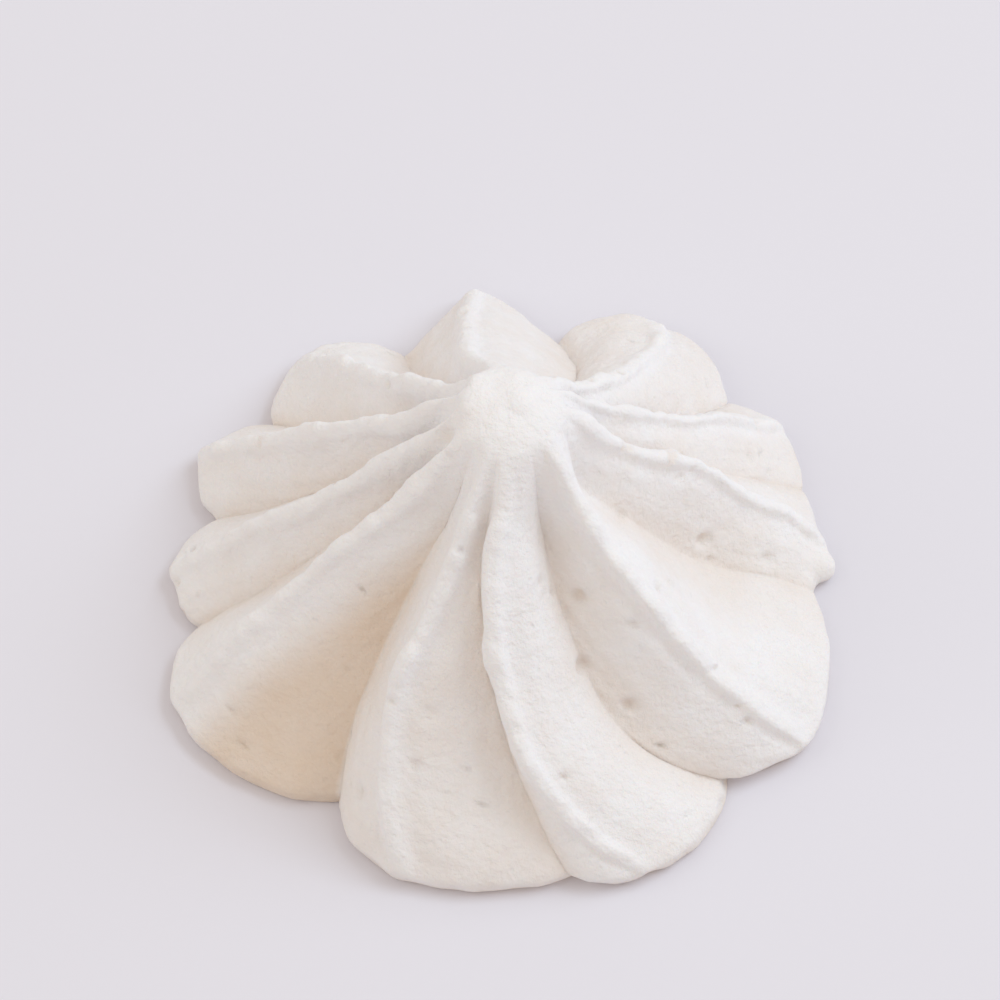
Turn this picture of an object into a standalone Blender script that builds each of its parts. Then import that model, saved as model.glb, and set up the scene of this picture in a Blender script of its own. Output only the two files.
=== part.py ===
"""A piped meringue cookie: a low tent of eleven piped ridges under a small cap, with a lobed foot.

One closed solid stands on its flat baked base, with the origin at the middle of the base.
Azimuths run anticlockwise from +X, seen from above.
"""
import math
from typing import NamedTuple

import bmesh
import bpy

MM = 0.001

# The tent, in millimetres. Its radii reach to the crests of the ridges.
FOOT_RADIUS = 20.7
BELLY_RADIUS = 21.3
BELLY_HEIGHT = 1.2
TENT_HEIGHT = 24.5
TENT_BULGE = 1.05  # 1 is a straight cone and 2 an ellipse
FLANK_RISE = 0.63  # the upward share of a flank's normal

# The cap, where the piping ended
CAP_HEIGHT = 23.7
CAP_FALL = 0.8  # from its middle to its edge
CAP_RADIUS = 2.8
CAP_SKIRT_RADIUS = 6.5
CAP_OFFSET = (0.5, 0.0)

# The ridges and the grooves between them
WAIST_HEIGHT = 8.0
CROWN_HEIGHT = 17.0
GROOVE_START_RADIUS = 2.5
GROOVE_FULL_RADIUS = 7.5
LOBE_POWER = 2.2
LOBE_NOTCH = 0.8
CREST_WIDTH = 0.15  # of a narrow crest, as a share of half a ridge
FLANK_HOLLOW = 1.4  # 1 is a flat flank
WOBBLE = 0.2
WOBBLE_LENGTH = 9.0
WOBBLE_SHIFT = 2.4  # radians, from each ridge's wobble to the next


class Ridge(NamedTuple):
    crest: tuple  # azimuths at the foot, the waist and the crown
    groove: tuple  # the same for the groove after the crest
    depth: tuple  # of that groove, at the foot, the waist and the crown
    roundness: tuple  # 0 is a narrow crest on hollow flanks and 1 a round lobe, at the foot and above it
    reach: float  # share of the tent's radius


RIDGES = (
    Ridge((7, 12, 8), (20, 20, 17), (0.8, 1.4, 1.4), (0.5, 0.1), 0.96),
    Ridge((34, 31, 28), (44, 38, 33), (2.0, 2.3, 2.0), (0.8, 0.5), 0.99),
    Ridge((64, 54, 46), (80, 70, 58), (3.5, 3.0, 2.4), (1.0, 0.9), 1.01),
    Ridge((94, 98, 108), (110, 114, 124), (3.4, 3.0, 2.4), (0.1, 0.1), 1.01),
    Ridge((127, 129, 134), (141, 142, 146), (2.4, 2.6, 2.2), (0.9, 0.2), 0.98),
    Ridge((153, 154, 157), (165, 166, 168), (2.6, 2.8, 2.2), (0.6, 0.1), 1.00),
    Ridge((177, 178, 180), (188, 189, 191), (2.4, 2.6, 2.2), (0.9, 0.2), 0.97),
    Ridge((203, 202, 205), (237, 230, 226), (4.0, 3.6, 2.6), (0.8, 0.1), 1.04),
    Ridge((256, 243, 244), (283, 271, 255), (1.0, 1.9, 1.0), (1.0, 0.1), 1.01),
    Ridge((297, 275, 261), (318, 299, 295), (3.0, 3.2, 3.0), (1.0, 0.6), 1.04),
    Ridge((331, 322, 315), (359, 357, 345), (1.8, 4.2, 3.0), (0.6, 0.0), 1.04),
)

COLUMNS_PER_RIDGE = 12
COLUMN_CROWDING = 0.4  # towards the crests and the grooves
FOOT_RINGS = 3
TENT_RINGS = 30


def smooth(low, high, value):
    """0 up to low, 1 from high on, and an even curve between them."""
    share = min(max((value - low) / (high - low), 0), 1)
    return share * share * (3 - 2 * share)


def blend(start, end, share):
    return start + (end - start) * share


def wound_azimuth(azimuths, height):
    """The parabola through the azimuths at the foot, the waist and the crown, and straight on above it."""
    foot, waist, crown = azimuths
    height = min(height, CROWN_HEIGHT)
    at_foot = (height - WAIST_HEIGHT) * (height - CROWN_HEIGHT) / (WAIST_HEIGHT * CROWN_HEIGHT)
    at_waist = height * (CROWN_HEIGHT - height) / (WAIST_HEIGHT * (CROWN_HEIGHT - WAIST_HEIGHT))
    at_crown = height * (height - WAIST_HEIGHT) / (CROWN_HEIGHT * (CROWN_HEIGHT - WAIST_HEIGHT))
    return foot * at_foot + waist * at_waist + crown * at_crown


def at_height(values, height):
    """An even curve from the value at the foot to those at the waist and the crown."""
    foot, waist, crown = values
    below_waist = blend(foot, waist, smooth(0, WAIST_HEIGHT, height))
    return blend(below_waist, crown, smooth(WAIST_HEIGHT, CROWN_HEIGHT, height))


def ring_profile(ring):
    """Radius and height of the crests at a ring, from the base over the belly to the middle of the cap."""
    if ring <= FOOT_RINGS:
        turn = math.pi / 2 * ring / FOOT_RINGS
        return blend(FOOT_RADIUS, BELLY_RADIUS, math.sin(turn)), BELLY_HEIGHT * (1 - math.cos(turn))
    share = 1 - (ring - FOOT_RINGS) / TENT_RINGS
    radius = BELLY_RADIUS * share
    tent = blend(BELLY_HEIGHT, TENT_HEIGHT, (1 - share ** TENT_BULGE) ** (1 / TENT_BULGE))
    cap = CAP_HEIGHT - CAP_FALL * (radius / CAP_RADIUS) ** 2
    return radius, blend(cap, tent, smooth(CAP_RADIUS, CAP_SKIRT_RADIUS, radius))


def ridge_share(across, roundness):
    """1 on a crest and 0 in a groove."""
    lobe = (1 - abs(across) ** LOBE_POWER) ** LOBE_NOTCH
    fall = math.hypot(across, CREST_WIDTH) - CREST_WIDTH
    narrow = 1 - fall / (math.hypot(1, CREST_WIDTH) - CREST_WIDTH)
    return blend(max(narrow, 0) ** FLANK_HOLLOW, lobe, roundness)


def surface_point(column, ring):
    """Where a column of the mesh meets a ring. Each ridge stands between two grooves."""
    radius, height = ring_profile(ring)
    index, step = divmod(column, COLUMNS_PER_RIDGE)
    share = 2 * step / COLUMNS_PER_RIDGE - 1
    across = share - COLUMN_CROWDING * math.sin(2 * math.pi * share) / (2 * math.pi)
    ridge = RIDGES[index]
    if across > 0:
        groove, neighbour, turn = ridge, RIDGES[(index + 1) % len(RIDGES)], 0
    else:
        groove = neighbour = RIDGES[index - 1]
        turn = -360 if index == 0 else 0
    crest_azimuth = wound_azimuth(ridge.crest, height)
    groove_azimuth = wound_azimuth(groove.groove, height) + turn
    azimuth = math.radians(blend(crest_azimuth, groove_azimuth, abs(across)))

    grooved = smooth(GROOVE_START_RADIUS, GROOVE_FULL_RADIUS, radius)
    above_foot = smooth(0, WAIST_HEIGHT, height)
    raised = ridge_share(across, blend(*ridge.roundness, above_foot))
    reach = blend((ridge.reach + neighbour.reach) / 2, ridge.reach, raised)
    wobble = WOBBLE * math.sin(2 * math.pi * height / WOBBLE_LENGTH + index * WOBBLE_SHIFT) * above_foot
    inward = (at_height(groove.depth, height) * (1 - raised) - wobble * raised) * grooved
    upward = FLANK_RISE * above_foot
    radius = radius * (1 + (reach - 1) * grooved) - inward * math.sqrt(1 - upward ** 2)
    height -= inward * upward

    leaning = smooth(0, CAP_HEIGHT, height)
    x = radius * math.cos(azimuth) + CAP_OFFSET[0] * leaning
    y = radius * math.sin(azimuth) + CAP_OFFSET[1] * leaning
    return x * MM, y * MM, height * MM


def make_meringue():
    """A sphere's rings and columns, moved onto the piped form, with the lower pole left out as the base."""
    columns = COLUMNS_PER_RIDGE * len(RIDGES)
    rings = FOOT_RINGS + TENT_RINGS + 1
    form = bmesh.new()
    bmesh.ops.create_uvsphere(form, u_segments=columns, v_segments=rings, radius=1)
    lower_pole = min(form.verts, key=lambda vert: vert.co.z)
    bmesh.ops.dissolve_verts(form, verts=[lower_pole])
    for vert in form.verts:
        azimuth = math.atan2(vert.co.y, vert.co.x) % (2 * math.pi)
        column = round(azimuth / (2 * math.pi) * columns) % columns
        ring = round((1 - math.acos(max(min(vert.co.z, 1), -1)) / math.pi) * rings) - 1
        vert.co = surface_point(column, ring)
    mesh = bpy.data.meshes.new("meringue")
    form.to_mesh(mesh)
    form.free()
    mesh.shade_smooth()
    return bpy.data.objects.new("meringue", mesh)


def baked_meringue():
    """Matt, slightly warm white."""
    material = bpy.data.materials.new("baked_meringue")
    material.use_nodes = True
    surface = material.node_tree.nodes["Principled BSDF"]
    surface.inputs["Base Color"].default_value = (0.86, 0.83, 0.79, 1)
    surface.inputs["Roughness"].default_value = 0.8
    surface.inputs["Metallic"].default_value = 0
    return material


def main():
    for thing in list(bpy.data.objects):
        bpy.data.objects.remove(thing)
    collection = bpy.data.collections.new("meringue_cookie")
    bpy.context.scene.collection.children.link(collection)
    meringue = make_meringue()
    meringue.data.materials.append(baked_meringue())
    collection.objects.link(meringue)


main()
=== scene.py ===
"""The looks of a piped meringue cookie: torn lips on its ridges, drag lines, pits and a baked base."""
import math

import bmesh
import bpy
import numpy as np
from mathutils import Euler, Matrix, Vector, noise


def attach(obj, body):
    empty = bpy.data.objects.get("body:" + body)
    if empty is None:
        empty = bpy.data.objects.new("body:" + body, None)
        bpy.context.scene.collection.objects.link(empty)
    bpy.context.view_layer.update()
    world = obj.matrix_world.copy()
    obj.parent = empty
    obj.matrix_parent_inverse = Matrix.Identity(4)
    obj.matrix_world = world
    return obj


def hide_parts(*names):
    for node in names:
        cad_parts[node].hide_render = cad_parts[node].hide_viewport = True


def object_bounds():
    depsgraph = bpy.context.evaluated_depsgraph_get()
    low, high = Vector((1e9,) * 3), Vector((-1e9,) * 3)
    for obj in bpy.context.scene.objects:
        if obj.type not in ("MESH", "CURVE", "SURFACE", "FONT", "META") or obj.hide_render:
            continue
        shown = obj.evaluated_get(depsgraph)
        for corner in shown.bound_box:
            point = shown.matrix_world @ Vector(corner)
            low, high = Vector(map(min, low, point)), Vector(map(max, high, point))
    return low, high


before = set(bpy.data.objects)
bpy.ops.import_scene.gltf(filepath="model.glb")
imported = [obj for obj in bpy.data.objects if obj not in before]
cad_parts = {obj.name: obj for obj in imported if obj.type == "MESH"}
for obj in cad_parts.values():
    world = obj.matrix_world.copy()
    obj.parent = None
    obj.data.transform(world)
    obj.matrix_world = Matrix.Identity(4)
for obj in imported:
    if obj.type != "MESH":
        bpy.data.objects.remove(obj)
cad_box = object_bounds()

MM = 0.001

# The tent, in millimetres, as in the part's source. Its radii reach to the crests of the ridges.
FOOT_RADIUS = 20.7
BELLY_RADIUS = 21.3
BELLY_HEIGHT = 1.2
TENT_HEIGHT = 24.5
TENT_BULGE = 1.05  # 1 is a straight cone and 2 an ellipse
FLANK_RISE = 0.63  # the upward share of a flank's normal

# The cap, where the piping ended
CAP_HEIGHT = 23.7
CAP_FALL = 0.8  # from its middle to its edge
CAP_RADIUS = 2.8
CAP_SKIRT_RADIUS = 6.5
CAP_OFFSET = (0.5, 0.0)

# The ridges and the grooves between them
WAIST_HEIGHT = 8.0
CROWN_HEIGHT = 17.0
GROOVE_START_RADIUS = 2.5
GROOVE_FULL_RADIUS = 7.5
LOBE_POWER = 2.2
LOBE_NOTCH = 0.8
CREST_WIDTH = 0.15  # of a narrow crest, as a share of half a ridge
FLANK_HOLLOW = 1.4  # 1 is a flat flank
WOBBLE = 0.2
WOBBLE_LENGTH = 9.0
WOBBLE_SHIFT = 2.4  # radians, from each ridge's wobble to the next

# For each ridge: azimuths of its crest and of the groove after it, at the foot, the waist and the crown,
# then the groove's depth at the same heights, the ridge's roundness at the foot and above it, and its
# reach as a share of the tent's radius. Azimuths run anticlockwise from +X, in degrees.
RIDGES = np.array([
    (7, 12, 8, 20, 20, 17, 0.8, 1.4, 1.4, 0.5, 0.1, 0.96),
    (34, 31, 28, 44, 38, 33, 2.0, 2.3, 2.0, 0.8, 0.5, 0.99),
    (64, 54, 46, 80, 70, 58, 3.5, 3.0, 2.4, 1.0, 0.9, 1.01),
    (94, 98, 108, 110, 114, 124, 3.4, 3.0, 2.4, 0.1, 0.1, 1.01),
    (127, 129, 134, 141, 142, 146, 2.4, 2.6, 2.2, 0.9, 0.2, 0.98),
    (153, 154, 157, 165, 166, 168, 2.6, 2.8, 2.2, 0.6, 0.1, 1.00),
    (177, 178, 180, 188, 189, 191, 2.4, 2.6, 2.2, 0.9, 0.2, 0.97),
    (203, 202, 205, 237, 230, 226, 4.0, 3.6, 2.6, 0.8, 0.1, 1.04),
    (256, 243, 244, 283, 271, 255, 1.0, 1.9, 1.0, 1.0, 0.1, 1.01),
    (297, 275, 261, 318, 299, 295, 3.0, 3.2, 3.0, 1.0, 0.6, 1.04),
    (331, 322, 315, 359, 357, 345, 1.8, 4.2, 3.0, 0.6, 0.0, 1.04),
], dtype=float)
CREST, GROOVE, DEPTH, ROUNDNESS, REACH = slice(0, 3), slice(3, 6), slice(6, 9), slice(9, 11), 11

COLUMNS_PER_RIDGE = 48
COLUMN_CROWDING = 0.4  # towards the crests and the grooves
BASE_RINGS = 22
FOOT_RINGS = 14
TENT_RINGS = 142

# The skin, in millimetres. Each noise has the length of its lumps, and a shift that sets it apart.
LUMPS = [(0.2, 7.0, 0), (0.1, 3.0, 40), (0.05, 0.8, 80)]  # height, length and shift
RIDGED_RADII = (3, 6)  # where the lips and streaks fade in from the cap
RIDGED_HEIGHTS = (0.5, 3)  # and from the foot
RIDGE_SHIFT = 7.7  # between the noise of one ridge and the next
LIP_HEIGHT = 0.28
LIP_WIDTHS = (0.4, 0.7)  # clockwise and anticlockwise of its middle
LIP_WANDER, LIP_WANDER_LENGTH = 0.4, 3.5
HOLLOW_HEIGHT = -0.14  # along both sides of a lip
HOLLOW_PLACE = 2  # from the lip's middle, in its widths
KNOB_HEIGHT, KNOB_LENGTH, KNOB_STRETCH = 0.45, 1.9, 2
TEAR_HEIGHT, TEAR_LENGTH, TEAR_SHIFT = 0.2, 0.8, 30
STREAK_HEIGHT, STREAK_WIDTH, STREAK_STRETCH = 0.09, 0.55, 14
FRAY_HEIGHT, FRAY_LENGTH, FRAY_SHIFT, FRAY_REACH = 0.3, 1.6, 60, 1.5  # of the foot
BASE_HOLLOW, BASE_HOLLOW_LENGTH = 0.4, 2.5
BASE_UNEVENNESS = 0.7  # as a share of the hollow
EVEN_EDGE = 0.6  # the skin fades in from the baked edge up to this height

# Pits and lumps: azimuth, radius seen from above, half width and height
MARKS = [
    (157, 2.1, 1.1, 0.3), (120, 2.8, 0.9, 0.3), (17, 1.4, 0.9, 0.25), (192, 3.4, 0.8, -0.25),
    (302, 8.8, 0.5, -0.5), (296, 11.3, 0.5, -0.5), (304, 14.0, 0.5, -0.5), (1, 12.6, 0.5, -0.5),
    (347, 7.6, 0.4, -0.3), (2, 16.4, 0.4, -0.3), (313, 11.9, 0.3, -0.3), (251, 14.4, 0.5, -0.2),
    (24, 17.0, 0.4, -0.3), (4, 20.6, 0.9, 0.8),
]
MARK_STEEPNESS = 3  # 2 is a bell
PINHOLES = 80
PINHOLE_SEED = 11
PINHOLE_SIZES = (0.15, 0.35)
PINHOLE_HEIGHTS = (-0.35, -0.12)
FAR = 1000  # keeps marks off the baked edge

# How deep a tint each place has, from 0 for white to 1 for the full tint: painted shade on the flanks, in
# the grooves and pits and on one ridge's flank, crests kept white as a painted highlight, and the baked
# edge and base.
FLANK_PAINTED_SHADE = np.array([0.17, 0.25, 0.22, 0.15, 0.1, 0.1, 0.1, 0, 0.2, 0.07, 0.05])  # painted shade on the flanks, ridge by ridge
PAINTED_HIGHLIGHT_WIDTH = 2.0  # from the crest, kept white as a painted highlight, to where a flank has its full painted shade
# painted shade in the grooves
GROOVE_PAINTED_SHADE = 0.45
OFF_CAP_RADII = (3, 8)  # where the painted shade on flanks and grooves fades in from the white cap
# painted shade in the pits, full where a pit is this deep
PIT_PAINTED_SHADE = 0.5
PIT_SHADE_DEPTH = 0.5
# painted shade, a warm tan, on one ridge's broad flank
SHADED_RIDGE = 7
SHADED_RIDGE_TINT = 0.92
SHADED_RIDGE_FROM = (0.8, 4.5)  # from its crest, where the painted shade on that flank begins and where it is full
BROWNED_HEIGHT = 0.5  # of the baked edge
CREAM_MOTTLING = 0.5

# The material, with scales in features a metre and depths in metres
WHITE = (0.93, 0.92, 0.925, 1)
# the colour of the baked base, and also the colour of the painted shade
CREAM = (0.8, 0.67, 0.55, 1)
ROUGHNESS = (0.72, 0.92)
MOTTLING_SCALE = 330
MOTTLING_RANGE = (0.3, 0.7)
GRAIN_SCALE, GRAIN_STRENGTH, GRAIN_DEPTH = 1800, 0.8, 0.25 * MM
PORE_SCALE, PORE_STRENGTH, PORE_DEPTH = 1100, 0.4, 0.08 * MM
PORE_EDGE = (0.05, 0.25)  # from a pore's middle, where its floor ends and where its rim is, in cells
SPECULAR = 0.3
SUBSURFACE = 0.15
SUBSURFACE_DEPTHS = (1.2, 0.9, 0.7)  # of red, green and blue light, in millimetres

FLOOR = (0.79, 0.78, 0.84, 1)
FLOOR_ROUGHNESS = 0.6
FLOOR_SIZE = 3

# Large soft lamps in a warm, even surround: azimuth, elevation, power in watts and colour
LAMPS = {
    "key": (20, 49, 2.85, (0.72, 0.84, 0.96)),
    "left": (185, 42, 0.75, (0.95, 1, 1)),
}
LAMP_DISTANCE = 0.8
LAMP_SIZE = 0.5
SURROUND = (1, 0.91, 0.835, 1)
SURROUND_STRENGTH = 0.68

CAMERA_ELEVATION = 60
CAMERA_DISTANCE = 0.9
CAMERA_CLIP = 0.01
FRAME_WIDTH = 0.062


def smooth(low, high, value):
    """0 up to low, 1 from high on, and an even curve between them."""
    share = np.clip((value - low) / (high - low), 0, 1)
    return share * share * (3 - 2 * share)


def blend(start, end, share):
    return start + (end - start) * share


def wound_azimuth(azimuths, height):
    """The parabola through the azimuths at the foot, the waist and the crown, and straight on above it."""
    height = np.minimum(height, CROWN_HEIGHT)
    at_foot = (height - WAIST_HEIGHT) * (height - CROWN_HEIGHT) / (WAIST_HEIGHT * CROWN_HEIGHT)
    at_waist = height * (CROWN_HEIGHT - height) / (WAIST_HEIGHT * (CROWN_HEIGHT - WAIST_HEIGHT))
    at_crown = height * (height - WAIST_HEIGHT) / (CROWN_HEIGHT * (CROWN_HEIGHT - WAIST_HEIGHT))
    return azimuths[:, 0] * at_foot + azimuths[:, 1] * at_waist + azimuths[:, 2] * at_crown


def at_height(values, height):
    """An even curve from the value at the foot to those at the waist and the crown."""
    below_waist = blend(values[:, 0], values[:, 1], smooth(0, WAIST_HEIGHT, height))
    return blend(below_waist, values[:, 2], smooth(WAIST_HEIGHT, CROWN_HEIGHT, height))


def ring_profile(ring):
    """Radius and height of the crests at rings counted from the foot, up to the middle of the cap."""
    turn = np.clip(ring / FOOT_RINGS, 0, 1) * math.pi / 2
    share = 1 - np.clip((ring - FOOT_RINGS) / TENT_RINGS, 0, 1)
    radius = blend(FOOT_RADIUS, BELLY_RADIUS, np.sin(turn)) * share
    tent = blend(BELLY_HEIGHT, TENT_HEIGHT, (1 - share ** TENT_BULGE) ** (1 / TENT_BULGE))
    cap = CAP_HEIGHT - CAP_FALL * (radius / CAP_RADIUS) ** 2
    above_belly = blend(cap, tent, smooth(CAP_RADIUS, CAP_SKIRT_RADIUS, radius))
    return radius, np.where(ring <= FOOT_RINGS, BELLY_HEIGHT * (1 - np.cos(turn)), above_belly)


def ridge_share(across, roundness):
    """1 on a crest and 0 in a groove."""
    lobe = (1 - abs(across) ** LOBE_POWER) ** LOBE_NOTCH
    fall = np.hypot(across, CREST_WIDTH) - CREST_WIDTH
    narrow = 1 - fall / (math.hypot(1, CREST_WIDTH) - CREST_WIDTH)
    return blend(np.maximum(narrow, 0) ** FLANK_HOLLOW, lobe, roundness)


def piped_form(column, ring):
    """The form of the part's source at any columns and rings, in millimetres, and where on its ridge
    each point lies: the ridge's number, the distance from its crest and the share of its height."""
    radius, height = ring_profile(ring)
    index, step = np.divmod(column, COLUMNS_PER_RIDGE)
    share = 2 * step / COLUMNS_PER_RIDGE - 1
    across = share - COLUMN_CROWDING * np.sin(2 * math.pi * share) / (2 * math.pi)
    after = across > 0
    ridge = RIDGES[index]
    groove = np.where(after[:, None], ridge, RIDGES[index - 1])
    neighbour = np.where(after[:, None], RIDGES[(index + 1) % len(RIDGES)], RIDGES[index - 1])
    turn = np.where(~after & (index == 0), -360, 0)
    crest_azimuth = wound_azimuth(ridge[:, CREST], height)
    groove_azimuth = wound_azimuth(groove[:, GROOVE], height) + turn
    azimuth = np.radians(blend(crest_azimuth, groove_azimuth, abs(across)))
    from_crest = radius * (azimuth - np.radians(crest_azimuth))

    grooved = smooth(GROOVE_START_RADIUS, GROOVE_FULL_RADIUS, radius)
    above_foot = smooth(0, WAIST_HEIGHT, height)
    raised = ridge_share(across, blend(*ridge[:, ROUNDNESS].T, above_foot))
    reach = blend((ridge[:, REACH] + neighbour[:, REACH]) / 2, ridge[:, REACH], raised)
    wobble = WOBBLE * np.sin(2 * math.pi * height / WOBBLE_LENGTH + index * WOBBLE_SHIFT) * above_foot
    inward = (at_height(groove[:, DEPTH], height) * (1 - raised) - wobble * raised) * grooved
    upward = FLANK_RISE * above_foot
    radius = radius * (1 + (reach - 1) * grooved) - inward * np.sqrt(1 - upward ** 2)
    height = height - inward * upward

    leaning = smooth(0, CAP_HEIGHT, height)
    points = np.stack([
        radius * np.cos(azimuth) + CAP_OFFSET[0] * leaning,
        radius * np.sin(azimuth) + CAP_OFFSET[1] * leaning,
        height,
    ], axis=1)
    return points, index, from_crest, raised


def noise_at(points, length, shift=0):
    """Smooth noise between about -1 and 1, with lumps of about the given length in millimetres."""
    return np.array([noise.noise(place) for place in ((points + shift) / length).tolist()])


def marks_at(points):
    """The height of the marks and of seeded pinholes at each point."""
    chance = np.random.default_rng(PINHOLE_SEED)
    pinholes = zip(
        chance.uniform(0, 360, PINHOLES),
        FOOT_RADIUS * np.sqrt(chance.uniform(0, 1, PINHOLES)),
        chance.uniform(*PINHOLE_SIZES, PINHOLES),
        chance.uniform(*PINHOLE_HEIGHTS, PINHOLES),
    )
    out = np.zeros(len(points))
    off_edge = np.where(points[:, 2] > EVEN_EDGE, 0, FAR)
    for azimuth, radius, half_width, height in [*MARKS, *pinholes]:
        place = radius * np.cos(np.radians((azimuth, azimuth - 90)))
        nearest = np.argmin(np.hypot(*(points[:, :2] - place).T) + off_edge)
        distance = np.linalg.norm(points - points[nearest], axis=1)
        out += height * np.exp(-((distance / half_width) ** MARK_STEEPNESS))
    return out


def skin_height(points, index, from_crest, marks):
    """How far each point stands out from the piped form."""
    radius = np.hypot(points[:, 0], points[:, 1])
    height = points[:, 2]
    ridge_shift = index * RIDGE_SHIFT

    path = np.stack([radius, ridge_shift, np.zeros(len(points))], axis=1)
    from_lip = from_crest - LIP_WANDER * noise_at(path, LIP_WANDER_LENGTH)
    from_lip /= np.where(from_lip < 0, *LIP_WIDTHS)
    lip = np.exp(-(from_lip ** 4))
    hollows = np.exp(-((abs(from_lip) - HOLLOW_PLACE) ** 2))
    knobbly = np.stack([from_crest / KNOB_STRETCH, radius, ridge_shift], axis=1)
    knobs = np.maximum(noise_at(knobbly, KNOB_LENGTH), 0)
    tears = noise_at(knobbly, TEAR_LENGTH, TEAR_SHIFT)
    streaky = np.stack([from_crest, radius / STREAK_STRETCH, ridge_shift], axis=1)

    out = (LIP_HEIGHT + KNOB_HEIGHT * knobs + TEAR_HEIGHT * tears) * lip
    out += HOLLOW_HEIGHT * hollows + STREAK_HEIGHT * noise_at(streaky, STREAK_WIDTH)
    out *= smooth(*RIDGED_RADII, radius) * smooth(*RIDGED_HEIGHTS, height)
    for lump_height, length, shift in LUMPS:
        out += lump_height * noise_at(points, length, shift)
    fray = noise_at(points, FRAY_LENGTH, FRAY_SHIFT) * np.exp(-((height / FRAY_REACH) ** 2))
    out += FRAY_HEIGHT * fray
    return (out + marks) * smooth(0, EVEN_EDGE, height)


def cream_and_painted_shade(points, index, from_crest, raised, marks, underneath):
    """0 where the skin is white, and up to 1 where shade is painted in grooves and pits and on the flanks,
    most on one ridge's flank, and for the baked edge and base.
    """
    radius = np.hypot(points[:, 0], points[:, 1])
    off_cap = smooth(*OFF_CAP_RADII, radius)
    return np.max([
        # painted shade in the grooves
        GROOVE_PAINTED_SHADE * (1 - raised) ** 2 * off_cap,
        # painted shade on the flanks, growing away from the crests, which stay white as a painted
        # highlight
        FLANK_PAINTED_SHADE[index] * smooth(0, PAINTED_HIGHLIGHT_WIDTH, abs(from_crest)) * off_cap,
        # painted shade in the pits
        PIT_PAINTED_SHADE * np.clip(-marks / PIT_SHADE_DEPTH, 0, 1),
        # painted shade on one ridge's broad flank
        SHADED_RIDGE_TINT * (index == SHADED_RIDGE) * smooth(*SHADED_RIDGE_FROM, from_crest),
        np.where(underneath, 1, np.exp(-points[:, 2] / BROWNED_HEIGHT)),
    ], axis=0)


def vectors(count, collection, name):
    """One vector of each item in a mesh's collection, such as its vertices' places, as rows."""
    values = np.empty(count * 3)
    collection.foreach_get(name, values)
    return values.reshape(-1, 3)


def make_skin():
    """A sphere's rings and columns, moved onto the piped form and then out along its normals."""
    columns = COLUMNS_PER_RIDGE * len(RIDGES)
    rings = BASE_RINGS + FOOT_RINGS + TENT_RINGS
    form = bmesh.new()
    bmesh.ops.create_uvsphere(form, u_segments=columns, v_segments=rings, radius=1)
    mesh = bpy.data.meshes.new("meringue_skin")
    form.to_mesh(mesh)
    form.free()

    count = len(mesh.vertices)
    unit = vectors(count, mesh.vertices, "co")
    turn = np.arctan2(unit[:, 1], unit[:, 0]) / (2 * math.pi)
    column = np.rint(turn * columns).astype(int) % columns
    ring = np.rint((1 - np.arccos(np.clip(unit[:, 2], -1, 1)) / math.pi) * rings) - BASE_RINGS
    points, index, from_crest, raised = piped_form(column, np.maximum(ring, 0))

    underneath = ring < 0
    inside = np.clip(1 + ring / BASE_RINGS, 0, 1)
    points[:, :2] *= inside[:, None]
    uneven = 1 + BASE_UNEVENNESS * noise_at(points, BASE_HOLLOW_LENGTH)
    points[:, 2] += BASE_HOLLOW * np.sqrt(1 - inside) * uneven * underneath
    mesh.vertices.foreach_set("co", points.ravel())
    mesh.update()

    marks = marks_at(points)
    # painted shade and the baked tint, kept on the mesh for the material
    cream_and_shade = cream_and_painted_shade(points, index, from_crest, raised, marks, underneath)
    mesh.attributes.new("cream_and_shade", "FLOAT", "POINT").data.foreach_set("value", cream_and_shade)
    outward = np.where(underneath, 0, skin_height(points, index, from_crest, marks))
    points += vectors(count, mesh.vertex_normals, "vector") * outward[:, None]
    mesh.vertices.foreach_set("co", (points * MM).ravel())
    mesh.update()
    mesh.shade_smooth()
    skin = bpy.data.objects.new("meringue_skin", mesh)
    bpy.context.scene.collection.objects.link(skin)
    return skin


def add_node(tree, kind, inputs, **settings):
    """A shader node whose sockets are given values or linked to other nodes' outputs."""
    node = tree.nodes.new(kind)
    for name, value in settings.items():
        setattr(node, name, value)
    for name, value in inputs.items():
        if isinstance(value, bpy.types.NodeSocket):
            tree.links.new(value, node.inputs[name])
        else:
            node.inputs[name].default_value = value
    return node


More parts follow.
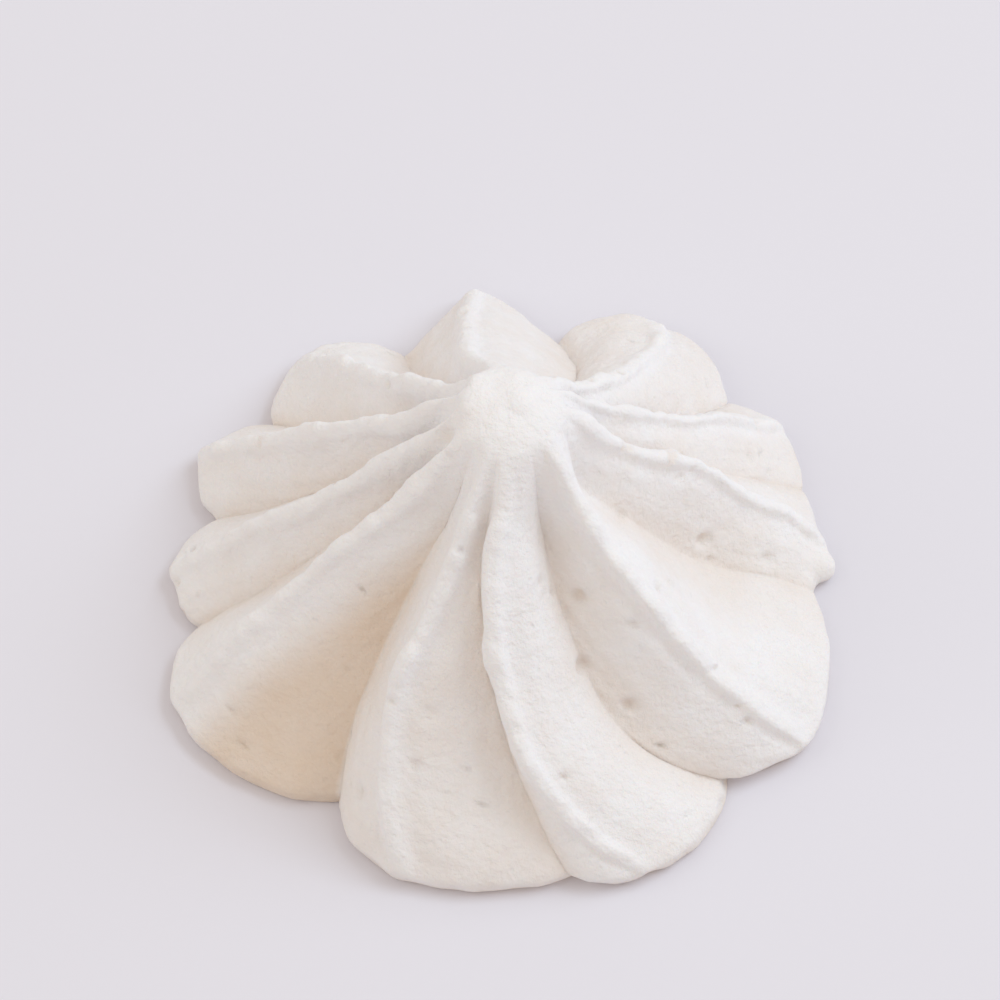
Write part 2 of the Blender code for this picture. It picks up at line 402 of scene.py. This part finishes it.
def meringue_material():
    """White on the ridges, tinted as painted shade in the grooves and on the flanks and tinted by the bake
    underneath, mottled, matt and finely porous.
    """
    material = bpy.data.materials.new("baked_meringue")
    material.use_nodes = True
    tree = material.node_tree
    surface = tree.nodes["Principled BSDF"]
    place = tree.nodes.new("ShaderNodeTexCoord").outputs["Object"]

    # reads the painted shade and the baked tint from the mesh
    cream_and_shade = tree.nodes.new("ShaderNodeAttribute")
    cream_and_shade.attribute_name = "cream_and_shade"
    mottling = add_node(tree, "ShaderNodeTexNoise", {
        "Vector": place, "Scale": MOTTLING_SCALE, "Detail": 5, "Roughness": 0.6,
    })
    centred = add_node(tree, "ShaderNodeMath", {0: mottling.outputs["Fac"], 1: 0.5}, operation="SUBTRACT")
    mottled_cream_and_shade = add_node(tree, "ShaderNodeMath", {
        0: centred.outputs[0], 1: CREAM_MOTTLING, 2: cream_and_shade.outputs["Fac"],
    }, operation="MULTIPLY_ADD")
    ramp = add_node(tree, "ShaderNodeValToRGB", {"Fac": mottled_cream_and_shade.outputs[0]})
    ramp.color_ramp.elements[0].color = WHITE
    ramp.color_ramp.elements[1].color = CREAM
    tree.links.new(ramp.outputs["Color"], surface.inputs["Base Color"])

    rough = add_node(tree, "ShaderNodeMapRange", {
        "Value": mottling.outputs["Fac"],
        "From Min": MOTTLING_RANGE[0], "From Max": MOTTLING_RANGE[1],
        "To Min": ROUGHNESS[0], "To Max": ROUGHNESS[1],
    })
    tree.links.new(rough.outputs["Result"], surface.inputs["Roughness"])

    grain = add_node(tree, "ShaderNodeTexNoise", {
        "Vector": place, "Scale": GRAIN_SCALE, "Detail": 4, "Roughness": 0.6,
    })
    grainy = add_node(tree, "ShaderNodeBump", {
        "Height": grain.outputs["Fac"], "Strength": GRAIN_STRENGTH, "Distance": GRAIN_DEPTH,
    })
    pores = add_node(tree, "ShaderNodeTexVoronoi", {"Vector": place, "Scale": PORE_SCALE, "Randomness": 1})
    pore_depth = add_node(tree, "ShaderNodeMapRange", {
        "Value": pores.outputs["Distance"], "From Min": PORE_EDGE[0], "From Max": PORE_EDGE[1],
    })
    porous = add_node(tree, "ShaderNodeBump", {
        "Height": pore_depth.outputs["Result"], "Strength": PORE_STRENGTH, "Distance": PORE_DEPTH,
        "Normal": grainy.outputs["Normal"],
    })
    tree.links.new(porous.outputs["Normal"], surface.inputs["Normal"])

    surface.inputs["Specular IOR Level"].default_value = SPECULAR
    surface.inputs["Subsurface Weight"].default_value = SUBSURFACE
    surface.inputs["Subsurface Radius"].default_value = SUBSURFACE_DEPTHS
    surface.inputs["Subsurface Scale"].default_value = MM
    return material


def make_floor():
    bpy.ops.mesh.primitive_plane_add(size=FLOOR_SIZE, location=(0, 0, 0))
    floor = bpy.context.object
    floor.name = "floor"
    material = bpy.data.materials.new("pale_floor")
    material.use_nodes = True
    surface = material.node_tree.nodes["Principled BSDF"]
    surface.inputs["Base Color"].default_value = FLOOR
    surface.inputs["Roughness"].default_value = FLOOR_ROUGHNESS
    floor.data.materials.append(material)


def light_stage():
    world = bpy.data.worlds.new("studio")
    bpy.context.scene.world = world
    world.use_nodes = True
    background = world.node_tree.nodes["Background"]
    background.inputs["Color"].default_value = SURROUND
    background.inputs["Strength"].default_value = SURROUND_STRENGTH
    for name, (azimuth, elevation, power, color) in LAMPS.items():
        light = bpy.data.lights.new(name, "AREA")
        light.size = LAMP_SIZE
        light.energy = power
        light.color = color
        lamp = bpy.data.objects.new(name, light)
        away = Vector((1, 0, 0))
        away.rotate(Euler((0, -math.radians(elevation), math.radians(azimuth))))
        lamp.location = away * LAMP_DISTANCE
        lamp.rotation_euler = away.to_track_quat("Z", "Y").to_euler()
        bpy.context.scene.collection.objects.link(lamp)


def add_camera():
    camera = bpy.data.cameras.new("camera")
    camera.lens = camera.sensor_width * CAMERA_DISTANCE / FRAME_WIDTH
    camera.clip_start = CAMERA_CLIP
    eye = bpy.data.objects.new("camera", camera)
    elevation = math.radians(CAMERA_ELEVATION)
    middle = (cad_box[0] + cad_box[1]) / 2
    eye.location = middle + Vector((0, -math.cos(elevation), math.sin(elevation))) * CAMERA_DISTANCE
    eye.rotation_euler = (math.pi / 2 - elevation, 0, 0)
    bpy.context.scene.collection.objects.link(eye)
    bpy.context.scene.camera = eye


skin = make_skin()
skin.data.materials.append(meringue_material())
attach(skin, "root")
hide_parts("meringue")
make_floor()
light_stage()
add_camera()
bpy.context.scene.view_settings.view_transform = "Standard"
